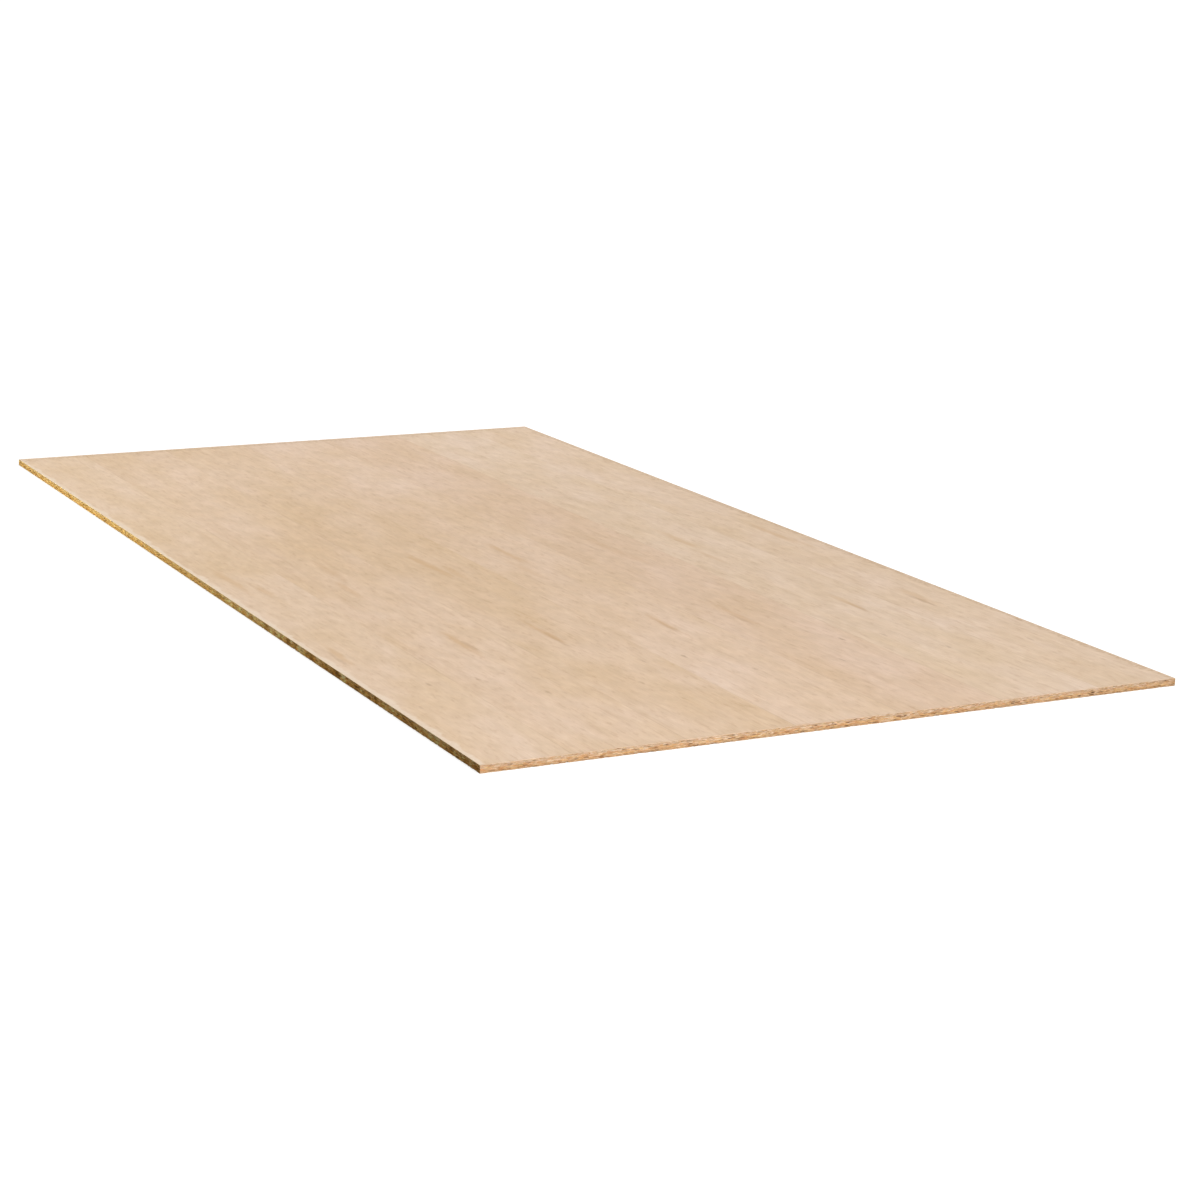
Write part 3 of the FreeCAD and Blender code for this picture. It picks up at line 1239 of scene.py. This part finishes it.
scuffs = face.fade(face.stretched(spot, 17.0, 60.0, 1.0, 2.0), 0.53, 0.66)
scuffs = face.maths("MULTIPLY", face.fade(from_near, SCUFF_REACH, 0.0), scuffs)
wood = face.blend(face.maths("MULTIPLY", rim_highlight, face.fade(fuzz, 0.0, 1.0, 0.65, 1.0)), wood, RIM_HIGHLIGHT)
wood = face.blend(face.maths("MULTIPLY", rim_shade, face.fade(fuzz, 1.0, 0.0, 0.15, 0.75)), wood, RIM_SHADE)
wood = face.blend(face.strength(scuffs, SCUFF_STRENGTH), wood, SCUFFED)
print("with a worn rim:", len(face.tree.nodes), "nodes")

# %% [markdown]
# ## The cut sides, and the feel of the face
#
# On the cut sides the veneer shows its end grain, which drinks light and looks darker. The way a surface
# points tells the two apart: the face points up. The face is sanded smooth, so the relief is only half a
# tenth of a millimetre at most, and its shine is low.

# %% Finish the face veneer
CUT_SIDE = (0.460, 0.325, 0.215)
PALE_CUT_SIDE = (0.570, 0.412, 0.285)
SMOOTH, ROUGH = 0.54, 0.62

facing = face.node("ShaderNodeSeparateXYZ", face.node("ShaderNodeNewGeometry").outputs["Normal"]).outputs[2]
cut = face.fade(facing, 0.55, 0.25)
cut_wood = face.blend(fuzz, CUT_SIDE, PALE_CUT_SIDE)
wood = face.blend(cut, wood, cut_wood)
face_height = face.maths("SUBTRACT", face.strength(fibres, 0.35), face.strength(pores, 0.8))
face_roughness = face.fade(threads, 0.3, 0.7, SMOOTH, ROUGH)
face_veneer = face.finish(wood, face_roughness, face_height, relief=0.05 * MM, shine=0.32)
for leaf in leaves:
    leaf.data.materials.append(face_veneer)

# %% [markdown]
# ## The finish of the sawn chips
#
# Each chip already carries its colour. Close up it is still wood, so fine fibres run along it, its tone
# changes from one end to the other, and saw teeth have roughened it. Sawdust, pale and dark, lies across
# the cracks and hides where one chip ends. The distance along any of the four sides is X plus Y, because
# one of them stands still.

# %% Finish the chips
DUST = (0.700, 0.510, 0.325)
DARK_DUST = (0.270, 0.155, 0.075)
FIBRE_SHADES = ((0.80, 0.75, 0.68), (1.15, 1.16, 1.18))
TONE_SHADES = ((0.86, 0.82, 0.76), (1.10, 1.11, 1.13))

edge = Finish("sawn_chips")
chip_paint = edge.node("ShaderNodeAttribute", attribute_name="chip_colour").outputs["Color"]
edge_spot = edge.node("ShaderNodeTexCoord").outputs["Object"]
edge_parts = edge.node("ShaderNodeSeparateXYZ", edge_spot)
walked = edge.maths("ADD", edge_parts.outputs[0], edge_parts.outputs[1])
edge_place = edge.place(walked, edge_parts.outputs[2], 0.0)
chip_fibres = edge.stretched(edge_place, 480.0, 4200.0, 1.0, 3.0, 0.65)
chip_tone = edge.stretched(edge_place, 210.0, 900.0, 1.0, 2.0, 0.5)
dust = edge.stretched(edge_place, 900.0, 1500.0, 1.0, 4.0, 0.65)
saw_marks = edge.stretched(edge_place, 900.0, 60.0, 1.0, 1.0)
chip_wood = edge.vary(chip_paint, edge.fade(chip_fibres, 0.28, 0.70), *FIBRE_SHADES)
chip_wood = edge.vary(chip_wood, edge.fade(chip_tone, 0.25, 0.75), *TONE_SHADES)
chip_wood = edge.blend(edge.fade(dust, 0.50, 0.70, 0.0, 0.62), chip_wood, DUST)
chip_wood = edge.blend(edge.fade(dust, 0.40, 0.28, 0.0, 0.55), chip_wood, DARK_DUST)
chip_height = edge.maths("ADD", chip_fibres, edge.strength(saw_marks, 0.35))
chip_height = edge.maths("ADD", chip_height, edge.strength(dust, 0.80))
chip_roughness = edge.fade(dust, 0.3, 0.7, 0.82, 0.95)
sawn_chips = edge.finish(chip_wood, chip_roughness, chip_height, relief=0.14 * MM, shine=0.12)
chip_core.data.materials.append(sawn_chips)

# %% [markdown]
# ## The plain back
#
# The back veneer is peeled off the log in one turn, like paper off a roll. Such a cut runs in and out of
# the rings and gives broad, wandering figure. It is a cheaper cut: duller, more uneven, and left rough.

# %% Finish the back
PEELED = (0.680, 0.492, 0.330)
PEELED_DARK = (0.590, 0.408, 0.258)
BACK_RING = (0.500, 0.320, 0.185)
BACK_PORE = (0.300, 0.185, 0.105)
BACK_WANDER = 0.20

back = Finish("back_veneer_plain")
back_spot = back.node("ShaderNodeTexCoord").outputs["Object"]
back_wander = back.stretched(back_spot, 1.6, 0.7, 1.0, 1.0)
back_parts = back.node("ShaderNodeSeparateXYZ", back_spot)
back_across = back.maths("ADD", back_parts.outputs[0], back.strength(back_wander, BACK_WANDER))
back_place = back.place(back_across, back_parts.outputs[1], back_parts.outputs[2])
back_rings = back.stretched(back_place, 26.0, 0.8, 1.0, 4.0, 0.6)
back_fibres = back.stretched(back_place, 700.0, 8.0, 1.0, 3.0, 0.6)
back_pores = back.fade(back.stretched(back_place, 1400.0, 120.0, 1.0, 1.0), 0.66, 0.78)
back_wood = back.blend(back.fade(back_fibres, 0.3, 0.7), PEELED, PEELED_DARK)
back_wood = back.blend(back.fade(back_rings, 0.50, 0.66, 0.0, 0.55), back_wood, BACK_RING)
back_wood = back.blend(back.strength(back_pores, 0.5), back_wood, BACK_PORE)
back_height = back.maths("SUBTRACT", back_fibres, back_pores)
back_roughness = back.fade(back_fibres, 0.3, 0.7, 0.68, 0.80)
plain_back = back.finish(back_wood, back_roughness, back_height, relief=0.08 * MM, shine=0.25)
back_sheet.data.materials.append(plain_back)

# %% [markdown]
# ## Floor and surroundings
#
# The board lies on a plain pale floor in a plain pale room. What the camera sees, directly or in a gloss,
# is white, while the light that they give back to the board is kept low, so that the shaded edge stays in
# shade. Blender marks each ray with what sent it out, and one helper picks the rays that end in the eye.

# %% Pick out the rays that are seen
def seen_rays(tree):
    """1 for rays that come from the eye, straight, off a gloss or through glass, and 0 for all others."""
    path = tree.nodes.new("ShaderNodeLightPath")
    total = path.outputs["Is Camera Ray"]
    for name in ("Is Glossy Ray", "Is Transmission Ray"):
        either = tree.nodes.new("ShaderNodeMath")
        either.operation = "MAXIMUM"
        tree.links.new(total, either.inputs[0])
        tree.links.new(path.outputs[name], either.inputs[1])
        total = either.outputs[0]
    return total


print("seen rays: straight, off a gloss, or through glass")

# %% [markdown]
# ## The floor
#
# One large square will do, a hair's breadth below the board so that the two do not flicker into each other.
# It reaches so far that its edge is lost in the pale room.

# %% Lay the floor
FLOOR_SIZE = 200.0
HAIR = 0.02 * MM
half = FLOOR_SIZE / 2
floor_corners = [(-half, -half, 0), (half, -half, 0), (half, half, 0), (-half, half, 0)]
floor_mesh = bpy.data.meshes.new("floor")
floor_mesh.from_pydata(floor_corners, [], [(0, 1, 2, 3)])
floor = bpy.data.objects.new("floor", floor_mesh)
floor.location.z = cad_low.z - HAIR
bpy.context.scene.collection.objects.link(floor)
print(f"floor {FLOOR_SIZE:.0f} m across")

# %% [markdown]
# ## Floor paint
#
# To the eye the floor adds a little reflected light to its own glow, and loses it where the board stands in
# the way: that is the board's shadow. To the board it is a dim grey. A plain white paint would light the
# shaded edge from below.

# %% Paint the floor
FLOOR_GLOW = 0.86
FLOOR_LIT = 0.30
FLOOR_BOUNCE = 0.08

floor_paint = bpy.data.materials.new("pale_floor")
floor_paint.use_nodes = True
tree = floor_paint.node_tree
tree.nodes.clear()
glow = tree.nodes.new("ShaderNodeEmission")
glow.inputs["Strength"].default_value = FLOOR_GLOW
lit = tree.nodes.new("ShaderNodeBsdfDiffuse")
lit.inputs["Color"].default_value = (FLOOR_LIT, FLOOR_LIT, FLOOR_LIT, 1)
bounce = tree.nodes.new("ShaderNodeBsdfDiffuse")
bounce.inputs["Color"].default_value = (FLOOR_BOUNCE, FLOOR_BOUNCE, FLOOR_BOUNCE, 1)
both = tree.nodes.new("ShaderNodeAddShader")
choose = tree.nodes.new("ShaderNodeMixShader")
out = tree.nodes.new("ShaderNodeOutputMaterial")
tree.links.new(glow.outputs[0], both.inputs[0])
tree.links.new(lit.outputs[0], both.inputs[1])
tree.links.new(seen_rays(tree), choose.inputs[0])
tree.links.new(bounce.outputs[0], choose.inputs[1])
tree.links.new(both.outputs[0], choose.inputs[2])
tree.links.new(choose.outputs[0], out.inputs["Surface"])
floor.data.materials.append(floor_paint)
print(f"the floor glows at {FLOOR_GLOW} and reflects {FLOOR_LIT} of the light")

# %% [markdown]
# ## The room
#
# The room is Blender's world, a sphere of even light round everything. It is white to the eye, and gives
# the board only a faint, even light from all sides.

# %% Colour the room
ROOM_LIGHT = 0.065
world = bpy.data.worlds.new("pale_room")
bpy.context.scene.world = world
world.use_nodes = True
tree = world.node_tree
room = tree.nodes["Background"]
room.inputs["Color"].default_value = (1, 1, 1, 1)
level = tree.nodes.new("ShaderNodeMapRange")
level.inputs["To Min"].default_value = ROOM_LIGHT
level.inputs["To Max"].default_value = 1.0
tree.links.new(seen_rays(tree), level.inputs["Value"])
tree.links.new(level.outputs[0], room.inputs["Strength"])
print(f"the room lights the board at {ROOM_LIGHT}")

# %% [markdown]
# ## Lamps
#
# One key light does nearly all the work, from high up in front and a little to the right. It gives the face
# the level at which a colour looks as it was mixed. A lamp is a lot of settings, so one helper makes the
# others. It keeps them out of the camera's sight, and out of reflections.

# %% Write the lamp helper, and set the key light
KEY_STRENGTH = 2.82
KEY_WIDTH = math.radians(24)
KEY_TRAVEL = Vector((-0.30, 0.55, -1.0))


def area_lamp(name, place, target, size, power, colour=(1, 1, 1)):
    """A soft rectangular lamp that points at a target."""
    data = bpy.data.lights.new(name, "AREA")
    data.shape = "RECTANGLE"
    data.size, data.size_y = size
    data.energy = power
    data.color = colour
    lamp = bpy.data.objects.new(name, data)
    lamp.location = place
    lamp.rotation_euler = (Vector(target) - Vector(place)).to_track_quat("-Z", "Y").to_euler()
    lamp.visible_camera = False
    lamp.visible_glossy = False
    bpy.context.scene.collection.objects.link(lamp)
    print(f"{name}: {power} W")


key = bpy.data.objects.new("key", bpy.data.lights.new("key", "SUN"))
key.data.energy = KEY_STRENGTH
key.data.angle = KEY_WIDTH
key.rotation_euler = KEY_TRAVEL.to_track_quat("-Z", "Y").to_euler()
bpy.context.scene.collection.objects.link(key)
print(f"key light: {KEY_STRENGTH} W on each square metre")

# %% [markdown]
# ## The lamps near the board
#
# A low lamp in front opens up the near end. A small yellow one lies low on the left, beyond the middle, so
# that it lights the far half of the left edge and leaves the near corner in shade. A broad amber one
# further off lifts that shade. A last one behind keeps the two hidden edges readable.

# %% Set the lamps near the board
area_lamp("front_fill", (0.0, -3.4, 0.42), (-1.1, NEAR_END, 0), (1.1, 0.5), 36)
area_lamp("left_low", (-1.75, 0.78, 0.085), (-WIDTH / 2, 0.78, 0.01), (0.7, 0.12), 14, (0.97, 0.98, 0.54))
area_lamp("left_warm", (-4.6, -0.4, 0.7), (-WIDTH / 2, -0.3, 0.01), (2.5, 0.8), 25, (1.0, 0.68, 0.04))
area_lamp("behind", (2.4, 4.2, 0.8), (0.3, 0.8, 0), (2.0, 0.8), 55)

# %% [markdown]
# ## Camera
#
# The camera stands off the near left corner at about waist height, with a long lens that keeps the far end
# from shrinking too much. It is turned in three steps: round to face the board, down towards it, and
# slightly over to one side.

# %% Aim the camera
CAMERA_PLACE = (-2.1157, -4.5193, 1.1353)
CAMERA_HEADING = math.radians(-27.10)
CAMERA_DOWN = math.radians(13.66)
CAMERA_LEAN = math.radians(1.31)
SENSOR_WIDTH = 36.0
LENS = 81.17

camera_data = bpy.data.cameras.new("camera")
camera_data.sensor_width = SENSOR_WIDTH
camera_data.lens = LENS
camera = bpy.data.objects.new("camera", camera_data)
turn_round = Matrix.Rotation(CAMERA_HEADING, 4, "Z")
tip_down = Matrix.Rotation(math.pi / 2 - CAMERA_DOWN, 4, "X")
lean = Matrix.Rotation(CAMERA_LEAN, 4, "Z")
camera.matrix_world = Matrix.Translation(CAMERA_PLACE) @ turn_round @ tip_down @ lean
bpy.context.scene.collection.objects.link(camera)
bpy.context.scene.camera = camera
bpy.context.scene.view_settings.view_transform = "Standard"
print("camera", round(camera.location.length, 3), "m from the middle of the board")

# %% [markdown]
